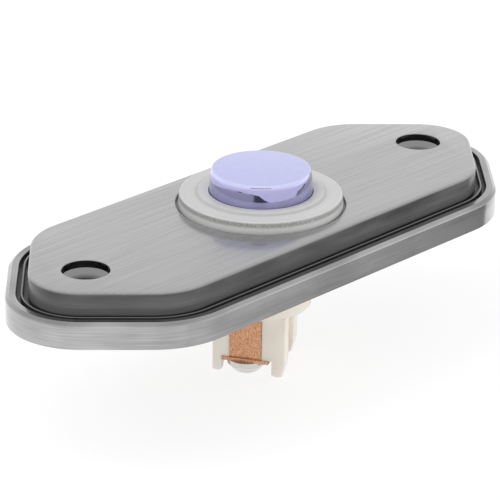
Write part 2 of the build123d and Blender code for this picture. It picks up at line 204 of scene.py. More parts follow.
def pewter_patterns(tree, place, axes, height, gap):
    """Brush streaks of the top and of the rim, and wiped clouds."""
    # Streaks 0.3 mm wide and 22 mm long on the top
    top_brush = add(tree, "ShaderNodeMapping", {"Vector": place, "Scale": (45, 3300, 3300)})[0]
    top_streaks = add(tree, "ShaderNodeTexNoise", {"Vector": top_brush, "Scale": 1.0, "Detail": 2.0})["Fac"]
    # Streaks 0.2 mm wide and 10 mm long that follow the outline on the rim and wall
    across = add(tree, "ShaderNodeMath", {0: gap, 1: height}, operation="ADD")[0]
    across = add(tree, "ShaderNodeMath", {0: across, 1: 5.0}, operation="MULTIPLY")[0]
    along_x = add(tree, "ShaderNodeMath", {0: axes["X"], 1: 100.0}, operation="MULTIPLY")[0]
    along_y = add(tree, "ShaderNodeMath", {0: axes["Y"], 1: 100.0}, operation="MULTIPLY")[0]
    round_brush = add(tree, "ShaderNodeCombineXYZ", {"X": along_x, "Y": along_y, "Z": across})[0]
    rim_streaks = add(tree, "ShaderNodeTexNoise", {
        "Vector": round_brush, "Scale": 1.0, "Detail": 3.0})["Fac"]
    # Clouds 14 mm long and 4 mm high
    cloud_place = add(tree, "ShaderNodeMapping", {"Vector": place, "Scale": (70, 70, 250)})[0]
    clouds = add(tree, "ShaderNodeTexNoise", {"Vector": cloud_place, "Scale": 1.0, "Detail": 2.0})["Fac"]
    return top_streaks, rim_streaks, clouds


def pewter_zones(tree, axes, height, gap):
    """Masks of the plate's top, wall, rim side, bead with its grooves, groove bottoms, holes and cones."""
    hole_side = add(tree, "ShaderNodeMath", {0: axes["X"]}, operation="ABSOLUTE")[0]
    hole_side = add(tree, "ShaderNodeMath", {0: hole_side, 1: SCREW_PLACE * MM}, operation="SUBTRACT")[0]
    hole_place = add(tree, "ShaderNodeCombineXYZ", {"X": hole_side, "Y": axes["Y"]})[0]
    hole_reach = add(tree, "ShaderNodeVectorMath", {0: hole_place}, operation="LENGTH")["Value"]
    top = add(tree, "ShaderNodeMapRange", {
        "Value": height, "From Min": PLATE_HEIGHT - 0.38, "From Max": PLATE_HEIGHT - 0.08})[0]
    wall = add(tree, "ShaderNodeMapRange", {
        "Value": gap, "From Min": 0.3, "From Max": 0.55, "To Min": 1.0, "To Max": 0.0})[0]
    rim_side = add(tree, "ShaderNodeMapRange", {
        "Value": gap, "From Min": rim_outer - 0.19, "From Max": rim_outer - 0.04})[0]
    inside_rim = add(tree, "ShaderNodeMapRange", {
        "Value": gap, "From Min": rim_inner - 0.04, "From Max": rim_inner + 0.08,
        "To Min": 1.0, "To Max": 0.0})[0]
    low = add(tree, "ShaderNodeMapRange", {
        "Value": height, "From Min": RIM_HEIGHT - 0.35, "From Max": RIM_HEIGHT - 0.1,
        "To Min": 1.0, "To Max": 0.0})[0]
    groove = add(tree, "ShaderNodeMath", {0: inside_rim, 1: low}, operation="MULTIPLY")[0]
    hole = add(tree, "ShaderNodeMapRange", {
        "Value": hole_reach, "From Min": (COUNTERSINK_RADIUS + 0.01) * MM,
        "From Max": (COUNTERSINK_RADIUS + 0.05) * MM, "To Min": 1.0, "To Max": 0.0})[0]
    cone = add(tree, "ShaderNodeMapRange", {
        "Value": height, "From Min": COUNTERSINK_TOP, "From Max": COUNTERSINK_TOP + 0.06,
        "To Min": 1.0, "To Max": 0.0})[0]
    return top, wall, rim_side, inside_rim, groove, hole, cone


def pewter_colour(tree, height, zones, patterns):
    """Colour of each zone of the plate, laid one over the other."""
    top, wall, rim_side, inside_rim, groove, hole, cone = zones
    top_streaks, rim_streaks, clouds = patterns
    top_light = add(tree, "ShaderNodeMapRange", {"Value": top_streaks, "From Min": 0.3, "From Max": 0.7})[0]
    rim_light = add(tree, "ShaderNodeMapRange", {"Value": rim_streaks, "From Min": 0.3, "From Max": 0.7})[0]
    cloud_light = add(tree, "ShaderNodeMapRange", {"Value": clouds, "From Min": 0.38, "From Max": 0.62})[0]

    # The rim's top, its outer side and the wall: streaks of a wiped and of a dull tone, mixed by the clouds
    clouded = []
    for dull_tones, wiped_tones in (
        (("7C7C7C", "909090"), ("9A9A9A", "AEAEAE")),
        (("989898", "ACACAC"), ("B0B0B0", "C6C6C6")),
        (("2E2E2E", "383838"), ("4E4E4E", "5C5C5C")),
    ):
        dull, wiped = [
            add(tree, "ShaderNodeMix", {0: rim_light, 6: linear(dark), 7: linear(light)}, data_type="RGBA")[2]
            for dark, light in (dull_tones, wiped_tones)]
        clouded.append(add(tree, "ShaderNodeMix", {0: cloud_light, 6: dull, 7: wiped}, data_type="RGBA")[2])
    rim_colour, side_colour, wall_colour = clouded
    rim_colour = add(tree, "ShaderNodeMix", {0: rim_side, 6: rim_colour, 7: side_colour}, data_type="RGBA")[2]
    # The wall is painted lighter low down: painted light that offsets the shade by the groove
    foot_light_mask = add(tree, "ShaderNodeMapRange", {
        "Value": height, "From Min": RIM_HEIGHT - 0.25, "From Max": PLATE_HEIGHT - 1.0,
        "To Min": 1.0, "To Max": 0.0})[0]
    foot_light_colour = add(tree, "ShaderNodeMix", {
        0: rim_light, 6: linear("606060"), 7: linear("6C6C6C")}, data_type="RGBA")[2]
    wall_colour = add(tree, "ShaderNodeMix", {0: foot_light_mask, 6: wall_colour, 7: foot_light_colour}, data_type="RGBA")[2]
    top_colour = add(tree, "ShaderNodeMix", {
        0: top_light, 6: linear("9A9A9A"), 7: linear("A8A8A8")}, data_type="RGBA")[2]
    # Countersinks are painted darker towards the hole: painted shade down in the hole
    cone_shade_mask = add(tree, "ShaderNodeMapRange", {
        "Value": height, "From Min": COUNTERSINK_TOP - 1.15, "From Max": COUNTERSINK_TOP - 0.6})[0]
    shaded_cone_colour = add(tree, "ShaderNodeMix", {
        0: cone_shade_mask, 6: linear("3A3A3A"), 7: linear("848484")}, data_type="RGBA")[2]
    shaded_hole_colour = add(tree, "ShaderNodeMix", {
        0: cone, 6: linear("606060"), 7: shaded_cone_colour}, data_type="RGBA")[2]

    colour = rim_colour
    for zone, zone_colour in (
        (inside_rim, linear("626262")), (wall, wall_colour), (groove, linear("2C2C2C")),
        (top, top_colour), (hole, shaded_hole_colour),
    ):
        colour = add(tree, "ShaderNodeMix", {0: zone, 6: colour, 7: zone_colour}, data_type="RGBA")[2]
    return colour


# Antique pewter finish on a zinc casting, lacquered: satin grey with fine brush streaks along the top and
# round the rim, soft clouds from hand wiping, and a dull dark patina left on the wall and in the grooves.
def make_pewter():
    material, tree, shader, place = start_material("antique pewter")
    axes = add(tree, "ShaderNodeSeparateXYZ", {"Vector": place})
    height = add(tree, "ShaderNodeMath", {0: axes["Z"], 1: MM}, operation="DIVIDE")[0]
    gap = add(tree, "ShaderNodeAttribute", attribute_name="outline_gap")["Fac"]
    patterns = pewter_patterns(tree, place, axes, height, gap)
    zones = pewter_zones(tree, axes, height, gap)
    colour = pewter_colour(tree, height, zones, patterns)
    top_streaks, rim_streaks, _ = patterns
    top, wall, _, _, groove, hole, _ = zones

    # The patina is duller and less metallic than the wiped faces, and the drilled holes are bright
    patina = add(tree, "ShaderNodeMath", {0: wall, 1: groove}, operation="MAXIMUM")[0]
    wiped = add(tree, "ShaderNodeMath", {0: top, 1: hole}, operation="MAXIMUM")[0]
    unwiped = add(tree, "ShaderNodeMath", {0: 1.0, 1: wiped}, operation="SUBTRACT")[0]
    patina = add(tree, "ShaderNodeMath", {0: patina, 1: unwiped}, operation="MULTIPLY")[0]
    metal = add(tree, "ShaderNodeMapRange", {"Value": patina, "To Min": 1.0, "To Max": 0.15})[0]
    streaks = add(tree, "ShaderNodeMix", {0: top, 2: rim_streaks, 3: top_streaks})[0]
    roughness = add(tree, "ShaderNodeMapRange", {
        "Value": streaks, "From Min": 0.3, "From Max": 0.7, "To Min": 0.24, "To Max": 0.14})[0]
    satin = add(tree, "ShaderNodeMapRange", {
        "Value": streaks, "From Min": 0.3, "From Max": 0.7, "To Min": 0.4, "To Max": 0.32})[0]
    for zone, zone_roughness in ((top, satin), (patina, 0.42), (hole, 0.12)):
        roughness = add(tree, "ShaderNodeMix", {0: zone, 2: roughness, 3: zone_roughness})[0]
    # The lacquer is whole on the top, thinner on the rim and wall, and missing in the grooves
    lacquer = add(tree, "ShaderNodeMapRange", {"Value": top, "To Min": 0.6, "To Max": 1.0})[0]
    ungrooved = add(tree, "ShaderNodeMath", {0: 1.0, 1: groove}, operation="SUBTRACT")[0]
    lacquer = add(tree, "ShaderNodeMath", {0: lacquer, 1: ungrooved}, operation="MULTIPLY")[0]
    ridges = add(tree, "ShaderNodeBump", {"Strength": 0.02, "Distance": 0.05 * MM, "Height": streaks})[0]
    feed(tree, shader, {
        "Base Color": colour, "Metallic": metal, "Roughness": roughness, "Coat Weight": lacquer,
        "Coat Roughness": 0.04, "Coat IOR": 1.5, "Normal": ridges})
    return material


# As-cast zinc inside the plate: dull grey with a faint sandy skin.
def make_cast_zinc():
    material, tree, shader, place = start_material("cast zinc")
    # Skin of the casting, 0.4 mm across, over cloudy patches of 6 mm
    skin = add(tree, "ShaderNodeTexNoise", {"Vector": place, "Scale": 2500.0, "Detail": 3.0})["Fac"]
    cloud = add(tree, "ShaderNodeTexNoise", {"Vector": place, "Scale": 170.0})["Fac"]
    colour = add(tree, "ShaderNodeMix", {
        0: cloud, 6: linear("7C7D7E"), 7: linear("A3A4A4")}, data_type="RGBA")[2]
    grains = add(tree, "ShaderNodeBump", {"Strength": 0.25, "Distance": 0.06 * MM, "Height": skin})[0]
    feed(tree, shader, {"Base Color": colour, "Metallic": 0.9, "Roughness": 0.55, "Normal": grains})
    return material


# Frosted clear acrylic, moulded: pale and milky with turned rings, a grey line of painted shade at the
# step, a grainy grey band round the upper wall, and a painted highlight on the edge round the cap.
def make_frosted():
    material, tree, shader, place = start_material("frosted acrylic")
    height, reach = height_and_reach(tree, place)
    # Etched grain 0.3 mm across, and turned rings 0.4 mm wide
    grain = add(tree, "ShaderNodeTexNoise", {"Vector": place, "Scale": 3300.0, "Detail": 3.0})["Fac"]
    ring_place = add(tree, "ShaderNodeCombineXYZ", {"X": reach, "Z": height})[0]
    rings = add(tree, "ShaderNodeTexNoise", {"Vector": ring_place, "Scale": 2.5, "Detail": 1.0})["Fac"]

    # A grey band, grainy and below the outer edge
    band = add(tree, "ShaderNodeMapRange", {
        "Value": height, "From Min": PLATE_HEIGHT + 0.55, "From Max": TREAD_HEIGHT - 0.55},
        interpolation_type="SMOOTHSTEP")[0]
    below_edge = add(tree, "ShaderNodeMapRange", {
        "Value": height, "From Min": TREAD_HEIGHT - 0.25, "From Max": TREAD_HEIGHT - 0.03,
        "To Min": 1.0, "To Max": 0.0})[0]
    outside = add(tree, "ShaderNodeMapRange", {
        "Value": reach, "From Min": RING_RADIUS - 0.45, "From Max": RING_RADIUS - 0.25})[0]
    grainy = add(tree, "ShaderNodeMapRange", {
        "Value": grain, "From Min": 0.25, "From Max": 0.65, "To Min": 0.4})[0]
    for mask in (below_edge, outside, grainy):
        band = add(tree, "ShaderNodeMath", {0: band, 1: mask}, operation="MULTIPLY")[0]
    # Painted shade on the slope of the step, and a painted highlight on the edge round the cap
    riser_foot = add(tree, "ShaderNodeMapRange", {
        "Value": reach, "From Min": TREAD_INNER_RADIUS - 0.05, "From Max": TREAD_INNER_RADIUS + 0.3,
        "To Min": 1.0, "To Max": 0.0}, interpolation_type="SMOOTHSTEP")[0]
    riser_head = add(tree, "ShaderNodeMapRange", {
        "Value": reach, "From Min": RING_TOP_RADIUS - 0.08, "From Max": RING_TOP_RADIUS + 0.12})[0]
    shaded_riser = add(tree, "ShaderNodeMath", {0: riser_foot, 1: riser_head}, operation="MULTIPLY")[0]
    # Painted highlight on the inner edge round the cap
    inner_edge_highlight = add(tree, "ShaderNodeMapRange", {
        "Value": reach, "From Min": LIP_RADIUS + 0.12, "From Max": LIP_RADIUS + 0.37,
        "To Min": 1.0, "To Max": 0.0})[0]

    colour = add(tree, "ShaderNodeMix", {
        0: rings, 6: linear("DFDFDE"), 7: linear("EDEDEC")}, data_type="RGBA")[2]
    # The grey at the step is painted shade, and the pale edge round the cap is a painted highlight
    for zone, code in ((shaded_riser, "CACAC8"), (band, "989897"), (inner_edge_highlight, "F4F4F4")):
        colour = add(tree, "ShaderNodeMix", {0: zone, 6: colour, 7: linear(code)}, data_type="RGBA")[2]
    frost = add(tree, "ShaderNodeBump", {"Strength": 0.08, "Distance": 0.03 * MM, "Height": grain})[0]
    feed(tree, shader, {
        "Base Color": colour, "Roughness": 0.4, "IOR": 1.49, "Transmission Weight": 0.3,
        "Subsurface Weight": 0.3, "Subsurface Radius": (1.0, 1.0, 1.0), "Subsurface Scale": 0.8 * MM,
        "Normal": frost})
    return material


# Bright plating on a moulded cap: a clean mirror with a violet cast, painted deeper on the side than on the
# top as painted shade, and with a painted highlight along the edge.
def make_plating():
    material, tree, shader, place = start_material("violet mirror plating")
    height, reach = height_and_reach(tree, place)
    # Polishing haze, 1.5 mm across
    haze = add(tree, "ShaderNodeTexNoise", {"Vector": place, "Scale": 650.0})["Fac"]
    upper = add(tree, "ShaderNodeMapRange", {
        "Value": height, "From Min": CAP_SHOULDER_HEIGHT + 0.08, "From Max": CAP_TOP - 0.32})[0]
    # Painted highlight along the edge of the top
    edge_highlight = add(tree, "ShaderNodeMapRange", {
        "Value": reach, "From Min": CAP_FLAT_RADIUS - 0.14, "From Max": CAP_FLAT_RADIUS - 0.08},
        interpolation_type="SMOOTHSTEP")[0]
    # The side is painted deeper than the top: painted shade
    side = add(tree, "ShaderNodeMix", {
        0: haze, 6: linear("A4A2CA"), 7: linear("B0AED6")}, data_type="RGBA")[2]
    top = add(tree, "ShaderNodeMix", {
        0: haze, 6: linear("BEC1EC"), 7: linear("C8CAF2")}, data_type="RGBA")[2]
    top = add(tree, "ShaderNodeMix", {0: edge_highlight, 6: top, 7: linear("D3D5F7")}, data_type="RGBA")[2]
    colour = add(tree, "ShaderNodeMix", {0: upper, 6: side, 7: top}, data_type="RGBA")[2]
    roughness = add(tree, "ShaderNodeMapRange", {
        "Value": haze, "From Min": 0.3, "From Max": 0.7, "To Min": 0.03, "To Max": 0.08})[0]
    feed(tree, shader, {"Base Color": colour, "Metallic": 1.0, "Roughness": roughness})
    return material


# Natural nylon, injection moulded: ivory, satin, slightly see-through at thin edges.
def make_nylon():
    material, tree, shader, place = start_material("natural nylon")
    # Flow clouds of 4 mm and a spark-eroded skin of 0.25 mm
    cloud = add(tree, "ShaderNodeTexNoise", {"Vector": place, "Scale": 250.0})["Fac"]
    skin = add(tree, "ShaderNodeTexNoise", {"Vector": place, "Scale": 4000.0})["Fac"]
    colour = add(tree, "ShaderNodeMix", {
        0: cloud, 6: linear("EAE1D4"), 7: linear("F5EFE5")}, data_type="RGBA")[2]
    grains = add(tree, "ShaderNodeBump", {"Strength": 0.1, "Distance": 0.03 * MM, "Height": skin})[0]
    feed(tree, shader, {
        "Base Color": colour, "Roughness": 0.45, "IOR": 1.53, "Subsurface Weight": 0.4,
        "Subsurface Radius": (1.0, 0.85, 0.7), "Subsurface Scale": 1.2 * MM, "Normal": grains})
    return material


# Rolled copper strip, tarnished: orange brown, finely mottled, with small dark specks.
def make_copper():
    material, tree, shader, place = start_material("tarnished copper")
    # Mottling of 0.25 mm, specks of 0.15 mm
    mottle = add(tree, "ShaderNodeTexNoise", {
        "Vector": place, "Scale": 4000.0, "Detail": 5.0, "Roughness": 0.65})["Fac"]
    speck = add(tree, "ShaderNodeTexNoise", {"Vector": place, "Scale": 6600.0})["Fac"]
    warm = add(tree, "ShaderNodeMapRange", {"Value": mottle, "From Min": 0.3, "From Max": 0.7})[0]
    dark = add(tree, "ShaderNodeMapRange", {
        "Value": speck, "From Min": 0.32, "From Max": 0.44, "To Min": 0.8, "To Max": 0.0})[0]
    colour = add(tree, "ShaderNodeMix", {
        0: warm, 6: linear("B27650"), 7: linear("F6C29C")}, data_type="RGBA")[2]
    colour = add(tree, "ShaderNodeMix", {0: dark, 6: colour, 7: linear("744830")}, data_type="RGBA")[2]
    grains = add(tree, "ShaderNodeBump", {"Strength": 0.25, "Distance": 0.04 * MM, "Height": mottle})[0]
    feed(tree, shader, {"Base Color": colour, "Metallic": 0.7, "Roughness": 0.5, "Normal": grains})
    return material


# Bright nickel plate on steel: a mirror with fine handling marks, painted dark down in a screw's recess as
# painted shade.
def make_nickel(name, dark, light):
    material, tree, shader, place = start_material(name)
    # Handling marks, 0.6 mm across
    marks = add(tree, "ShaderNodeTexNoise", {"Vector": place, "Scale": 1700.0, "Detail": 4.0})["Fac"]
    colour = add(tree, "ShaderNodeMix", {0: marks, 6: linear(dark), 7: linear(light)}, data_type="RGBA")[2]
    roughness = add(tree, "ShaderNodeMapRange", {
        "Value": marks, "From Min": 0.3, "From Max": 0.7, "To Min": 0.04, "To Max": 0.12})[0]
    feed(tree, shader, {"Base Color": colour, "Metallic": 1.0, "Roughness": roughness})
    return material


# Drawn spring wire: grey steel with lines along the wire too fine to show, drawn as soft mottling.
def make_spring_wire():
    material, tree, shader, place = start_material("drawn spring wire")
    # Mottling of 0.33 mm
    mottle = add(tree, "ShaderNodeTexNoise", {"Vector": place, "Scale": 3000.0, "Detail": 3.0})["Fac"]
    colour = add(tree, "ShaderNodeMix", {
        0: mottle, 6: linear("8C8E90"), 7: linear("B2B4B5")}, data_type="RGBA")[2]
    feed(tree, shader, {"Base Color": colour, "Metallic": 1.0, "Roughness": 0.3})
    return material


# Milky polypropylene: lets the lamp's light through, so it looks pale and cloudy.
def make_milky():
    material, tree, shader, place = start_material("milky polypropylene")
    # Clouds of 3 mm
    cloud = add(tree, "ShaderNodeTexNoise", {"Vector": place, "Scale": 300.0})["Fac"]
    colour = add(tree, "ShaderNodeMix", {
        0: cloud, 6: linear("E2E2DC"), 7: linear("EFEFEA")}, data_type="RGBA")[2]
    feed(tree, shader, {"Base Color": colour, "Roughness": 0.4, "IOR": 1.49, "Transmission Weight": 0.3})
    return material


# Solder mask over woven glass laminate: glossy green with the weave just showing.
def make_board():
    material, tree, shader, place = start_material("green solder mask")
    # Glass cloth with a 0.5 mm pitch
    weave = add(tree, "ShaderNodeTexChecker", {"Vector": place, "Scale": 2000.0})["Fac"]
    colour = add(tree, "ShaderNodeMix", {
        0: weave, 6: linear("1E5A33"), 7: linear("246840")}, data_type="RGBA")[2]
    feed(tree, shader, {"Base Color": colour, "Roughness": 0.3, "IOR": 1.5})
    return material


# Silicone over a lamp chip: pale yellow, cloudy with phosphor grains.
def make_lamp():
    material, tree, shader, place = start_material("phosphor silicone")
    # Grains of 0.2 mm
    grains = add(tree, "ShaderNodeTexNoise", {"Vector": place, "Scale": 5000.0, "Detail": 3.0})["Fac"]
    colour = add(tree, "ShaderNodeMix", {
        0: grains, 6: linear("E2CF7A"), 7: linear("F4EAB0")}, data_type="RGBA")[2]
    feed(tree, shader, {"Base Color": colour, "Roughness": 0.35, "IOR": 1.41})
    return material


# Glazed ceramic of a chip resistor: black, glossy, with a fine glaze ripple.
def make_resistor():
    material, tree, shader, place = start_material("black resistor glaze")
    # Ripple of 0.4 mm
    ripple = add(tree, "ShaderNodeTexNoise", {"Vector": place, "Scale": 2500.0})["Fac"]
    colour = add(tree, "ShaderNodeMix", {
        0: ripple, 6: linear("151516"), 7: linear("28282A")}, data_type="RGBA")[2]
    feed(tree, shader, {"Base Color": colour, "Roughness": 0.3})
    return material


pewter = make_pewter()
cast_zinc = make_cast_zinc()
frosted = make_frosted()
plating = make_plating()
nylon = make_nylon()
copper = make_copper()
nickel = make_nickel("bright nickel plate", "CCC9C5", "DEDBD7")
# Nickel painted dark as painted shade for the screws' cross recess
recess_shade_nickel = make_nickel("nickel with painted recess shade", "4A4845", "5E5B58")
spring_wire = make_spring_wire()
milky = make_milky()
board_green = make_board()
lamp_resin = make_lamp()
resistor_glaze = make_resistor()


def fresh():
    """Leave edit mode with nothing selected, ready for a new primitive."""
    if bpy.context.object and bpy.context.object.mode != "OBJECT":
        bpy.ops.object.mode_set(mode="OBJECT")
    bpy.ops.object.select_all(action="DESELECT")


def take(piece):
    """Make a piece the active object and select nothing else."""
    fresh()
    bpy.context.view_layer.objects.active = piece
    piece.select_set(True)


def pick(piece, kind, test):
    """In edit mode, select the corners, edges or faces that pass a test, and nothing else."""
    bpy.ops.mesh.select_mode(type=kind)
    bpy.ops.mesh.select_all(action="DESELECT")
    shape = bmesh.from_edit_mesh(piece.data)
    for part in {"VERT": shape.verts, "EDGE": shape.edges, "FACE": shape.faces}[kind]:
        if test(part):
            part.select_set(True)
    shape.select_flush(True)
    bmesh.update_edit_mesh(piece.data)


def step(thickness, rise):
    """Inset the selected face, then push it up or down."""
    bpy.ops.mesh.inset(thickness=thickness * MM, use_even_offset=True)
    bpy.ops.mesh.extrude_region_move(TRANSFORM_OT_translate={"value": (0, 0, rise * MM)})


def close_shell():
    """Merge doubled corners and turn all faces outwards."""
    bpy.ops.mesh.select_all(action="SELECT")
    bpy.ops.mesh.remove_doubles(threshold=0.0005 * MM)
    bpy.ops.mesh.normals_make_consistent(inside=False)


def turned(name, profile, rounds=(), closed=False, steps=64):
    """Turn a profile of (radius, height) corners about Z; rounds lists corners with size and segments."""
    fresh()
    bpy.ops.mesh.primitive_plane_add(size=MM)
    piece = bpy.context.object
    piece.name = name
    bpy.ops.object.mode_set(mode="EDIT")
    bpy.ops.mesh.select_mode(type="VERT")
    bpy.ops.mesh.select_all(action="SELECT")
    bpy.ops.mesh.merge(type="CENTER")
    corners = [Vector((radius, 0, height)) * MM for radius, height in profile]
    bpy.ops.transform.translate(value=corners[0])
    for here, there in zip(corners, corners[1:]):
        bpy.ops.mesh.extrude_vertices_move(TRANSFORM_OT_translate={"value": there - here})
    if closed:
        ends = (corners[0], corners[-1])
        pick(piece, "VERT", lambda corner: any((corner.co - end).length < 1e-7 for end in ends))
        bpy.ops.mesh.edge_face_add()
    for number, size, segments in rounds:
        pick(piece, "VERT", lambda corner: (corner.co - corners[number]).length < 1e-7)
        bpy.ops.mesh.bevel(offset=size * MM, affect="VERTICES", segments=segments, profile=0.5)
    bpy.ops.mesh.select_all(action="SELECT")
    bpy.ops.mesh.spin(steps=steps, angle=2 * math.pi, center=(0, 0, 0), axis=(0, 0, 1))
    close_shell()
    bpy.ops.object.mode_set(mode="OBJECT")
    return piece


def cut(piece, tool, operation="DIFFERENCE"):
    """Apply a boolean with a tool that is then thrown away."""
    take(piece)
    modifier = piece.modifiers.new("cut", "BOOLEAN")
    modifier.operation = operation
    modifier.solver = "EXACT"
    modifier.object = tool
    bpy.ops.object.modifier_apply(modifier="cut")
    bpy.data.objects.remove(tool)


def shift(piece, move):
    """Move a piece's mesh, so that its object stays at the origin."""
    take(piece)
    bpy.ops.object.mode_set(mode="EDIT")
    bpy.ops.mesh.select_all(action="SELECT")
    bpy.ops.transform.translate(value=Vector(move) * MM)
    bpy.ops.object.mode_set(mode="OBJECT")


def coat(piece, main, other, test):
    """Give a piece its main finish, and another one on the faces that pass a test."""
    piece.data.materials.append(main)
    piece.data.materials.append(other)
    take(piece)
    bpy.ops.object.mode_set(mode="EDIT")
    pick(piece, "FACE", test)
    piece.active_material_index = 1
    bpy.ops.object.material_slot_assign()
    bpy.ops.object.mode_set(mode="OBJECT")


def finish_piece(piece, body, node):
    """Smooth a piece, and let it stand for its node on its body."""
    take(piece)
    bpy.ops.object.shade_smooth_by_angle(angle=math.radians(SMOOTH_ANGLE))
    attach(piece, body)
    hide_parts(node)


def outline_gap(x, y):
    """Distance outside the plateau's rounded outline, in millimetres."""
    x, y = abs(x), abs(y)
    shoulder = PLATEAU_TIP - PLATEAU_HALF_WIDTH
    tip_x = x - (PLATEAU_TIP - END_ROUND * math.sqrt(2))
    side_x = x - (shoulder - SIDE_ROUND * math.tan(math.radians(22.5)))
    side_y = y - (PLATEAU_HALF_WIDTH - SIDE_ROUND)
    if tip_x > y:
        return math.hypot(tip_x, y) - END_ROUND
    if 0 < side_x < side_y:
        return math.hypot(side_x, side_y) - SIDE_ROUND
    return max(y - PLATEAU_HALF_WIDTH, (x + y - PLATEAU_TIP) / math.sqrt(2))


def on_outline(height, gap):
    """Test for an edge at a height that follows the outline at a distance outside the plateau."""
    def test(edge):
        return all(
            abs(corner.co.z - height * MM) < 1e-6
            and abs(outline_gap(corner.co.x / MM, corner.co.y / MM) - gap) < 0.15
            for corner in edge.verts)
    return test


def in_hollow(face):
    """Whether a face of the plate belongs to its cast back."""
    middle = face.calc_center_median() / MM
    gap = outline_gap(middle.x, middle.y)
    return middle.z < plate_underside + 0.1 and (
        middle.z < 0.01 or face.normal.z < -0.5 or gap < -CASTING_WALL + 0.3
        or (middle.z < rim_hollow + 0.01 and gap < rim_inner))


def plate_face():
    """Flat face with the plate's outer outline: a hexagon drawn out to points, with rounded corners."""
    fresh()
    bpy.ops.mesh.primitive_circle_add(
        vertices=6, radius=1, fill_type="NGON", rotation=(0, 0, math.radians(90)))
    plate = bpy.context.object
    plate.name = "pewter_plate"
    bpy.ops.object.transform_apply(rotation=True)
    bpy.ops.object.mode_set(mode="EDIT")
    half_width = (PLATEAU_HALF_WIDTH + rim_outer) * MM
    tip = (PLATEAU_TIP + rim_outer * math.sqrt(2)) * MM
    bpy.ops.mesh.select_all(action="SELECT")
    bpy.ops.transform.resize(value=(tip, half_width / math.sin(math.radians(60)), 1))
    pick(plate, "VERT", lambda corner: abs(corner.co.y) > half_width / 2)
    bpy.ops.transform.resize(value=((tip - half_width) / (tip / 2), 1, 1))
    pick(plate, "VERT", lambda corner: abs(corner.co.y) > half_width / 2)
    bpy.ops.mesh.bevel(
        offset=(SIDE_ROUND + rim_outer) * math.tan(math.radians(22.5)) * MM, affect="VERTICES",
        segments=16, profile=SHOULDER_PROFILE)
    pick(plate, "VERT", lambda corner: abs(corner.co.y) < 1e-6)
    bpy.ops.mesh.bevel(offset=(END_ROUND + rim_outer) * MM, affect="VERTICES", segments=17, profile=0.5)
    return plate


def drill_plate(plate):
    """Add the bosses, then cut the countersunk holes, the ring's seat and the hole for its sleeve."""
    cone_foot = COUNTERSINK_TOP - COUNTERSINK_RADIUS + SCREW_HOLE_RADIUS
    tool_top = PLATE_HEIGHT + OVERCUT
    flare = OVERCUT + EDGE_BREAK
    for side in (-1, 1):
        boss = turned("boss", [(0, 0), (BOSS_RADIUS, 0), (BOSS_RADIUS, BOSS_TOP), (0, BOSS_TOP)])
        shift(boss, (side * SCREW_PLACE, 0, 0))
        cut(plate, boss, "UNION")
        drill = turned("drill", [
            (0, tool_top), (COUNTERSINK_RADIUS + flare, tool_top),
            (COUNTERSINK_RADIUS, PLATE_HEIGHT - EDGE_BREAK), (COUNTERSINK_RADIUS, COUNTERSINK_TOP),
            (SCREW_HOLE_RADIUS, cone_foot), (SCREW_HOLE_RADIUS, -OVERCUT), (0, -OVERCUT)])
        shift(drill, (side * SCREW_PLACE, 0, 0))
        cut(plate, drill)
    seat = turned("seat", [
        (0, tool_top), (SEAT_RADIUS + flare, tool_top), (SEAT_RADIUS, PLATE_HEIGHT - EDGE_BREAK),
        (SEAT_RADIUS, SEAT_FLOOR), (SLEEVE_HOLE_RADIUS, SEAT_FLOOR),
        (SLEEVE_HOLE_RADIUS, SLEEVE_HOLE_BOTTOM), (0, SLEEVE_HOLE_BOTTOM)], steps=128)
    cut(plate, seat)
    # Mend what the cuts leave open
    bpy.ops.object.mode_set(mode="EDIT")
    close_shell()
    bpy.ops.mesh.delete_loose()
    bpy.ops.mesh.select_all(action="SELECT")
    bpy.ops.mesh.fill_holes(sides=4)
    close_shell()
    bpy.ops.object.mode_set(mode="OBJECT")


# Face plate: outline stepped up to the plateau, hollowed behind in two levels, worn, then drilled
plate = plate_face()
pick(plate, "FACE", lambda face: True)
bpy.ops.mesh.extrude_region_move(TRANSFORM_OT_translate={"value": (0, 0, RIM_HEIGHT * MM)})
step(RIM_WIDTH, -OUTER_GROOVE_DEPTH)
step(OUTER_GROOVE, OUTER_GROOVE_DEPTH)
step(BEAD_WIDTH, -INNER_GROOVE_DEPTH)
step(INNER_GROOVE, PLATE_HEIGHT - RIM_HEIGHT + INNER_GROOVE_DEPTH)
close_shell()
pick(plate, "FACE", lambda face: face.normal.z < -0.9 and abs(face.calc_center_median().z) < 1e-6)
step(CASTING_WALL, rim_hollow)
step(rim_outer, plate_underside - rim_hollow)
for height, gap, wear, segments in (
    (RIM_HEIGHT, rim_outer, RIM_WEAR, 1), (RIM_HEIGHT, rim_inner, GROOVE_WEAR, 3),
    (RIM_HEIGHT, bead_outer, BEAD_WEAR, 3), (RIM_HEIGHT, bead_inner, BEAD_WEAR, 3),
    (PLATE_HEIGHT, 0.0, PLATEAU_WEAR, 4),
):
    pick(plate, "EDGE", on_outline(height, gap))
    bpy.ops.mesh.bevel(offset=wear * MM, affect="EDGES", segments=segments, profile=0.5)
bpy.ops.object.mode_set(mode="OBJECT")
drill_plate(plate)
gaps = plate.data.attributes.new("outline_gap", "FLOAT", "POINT")
for corner, gap in zip(plate.data.vertices, gaps.data):
    gap.value = outline_gap(corner.co.x / MM, corner.co.y / MM)
coat(plate, pewter, cast_zinc, in_hollow)
finish_piece(plate, "base", "face_plate")

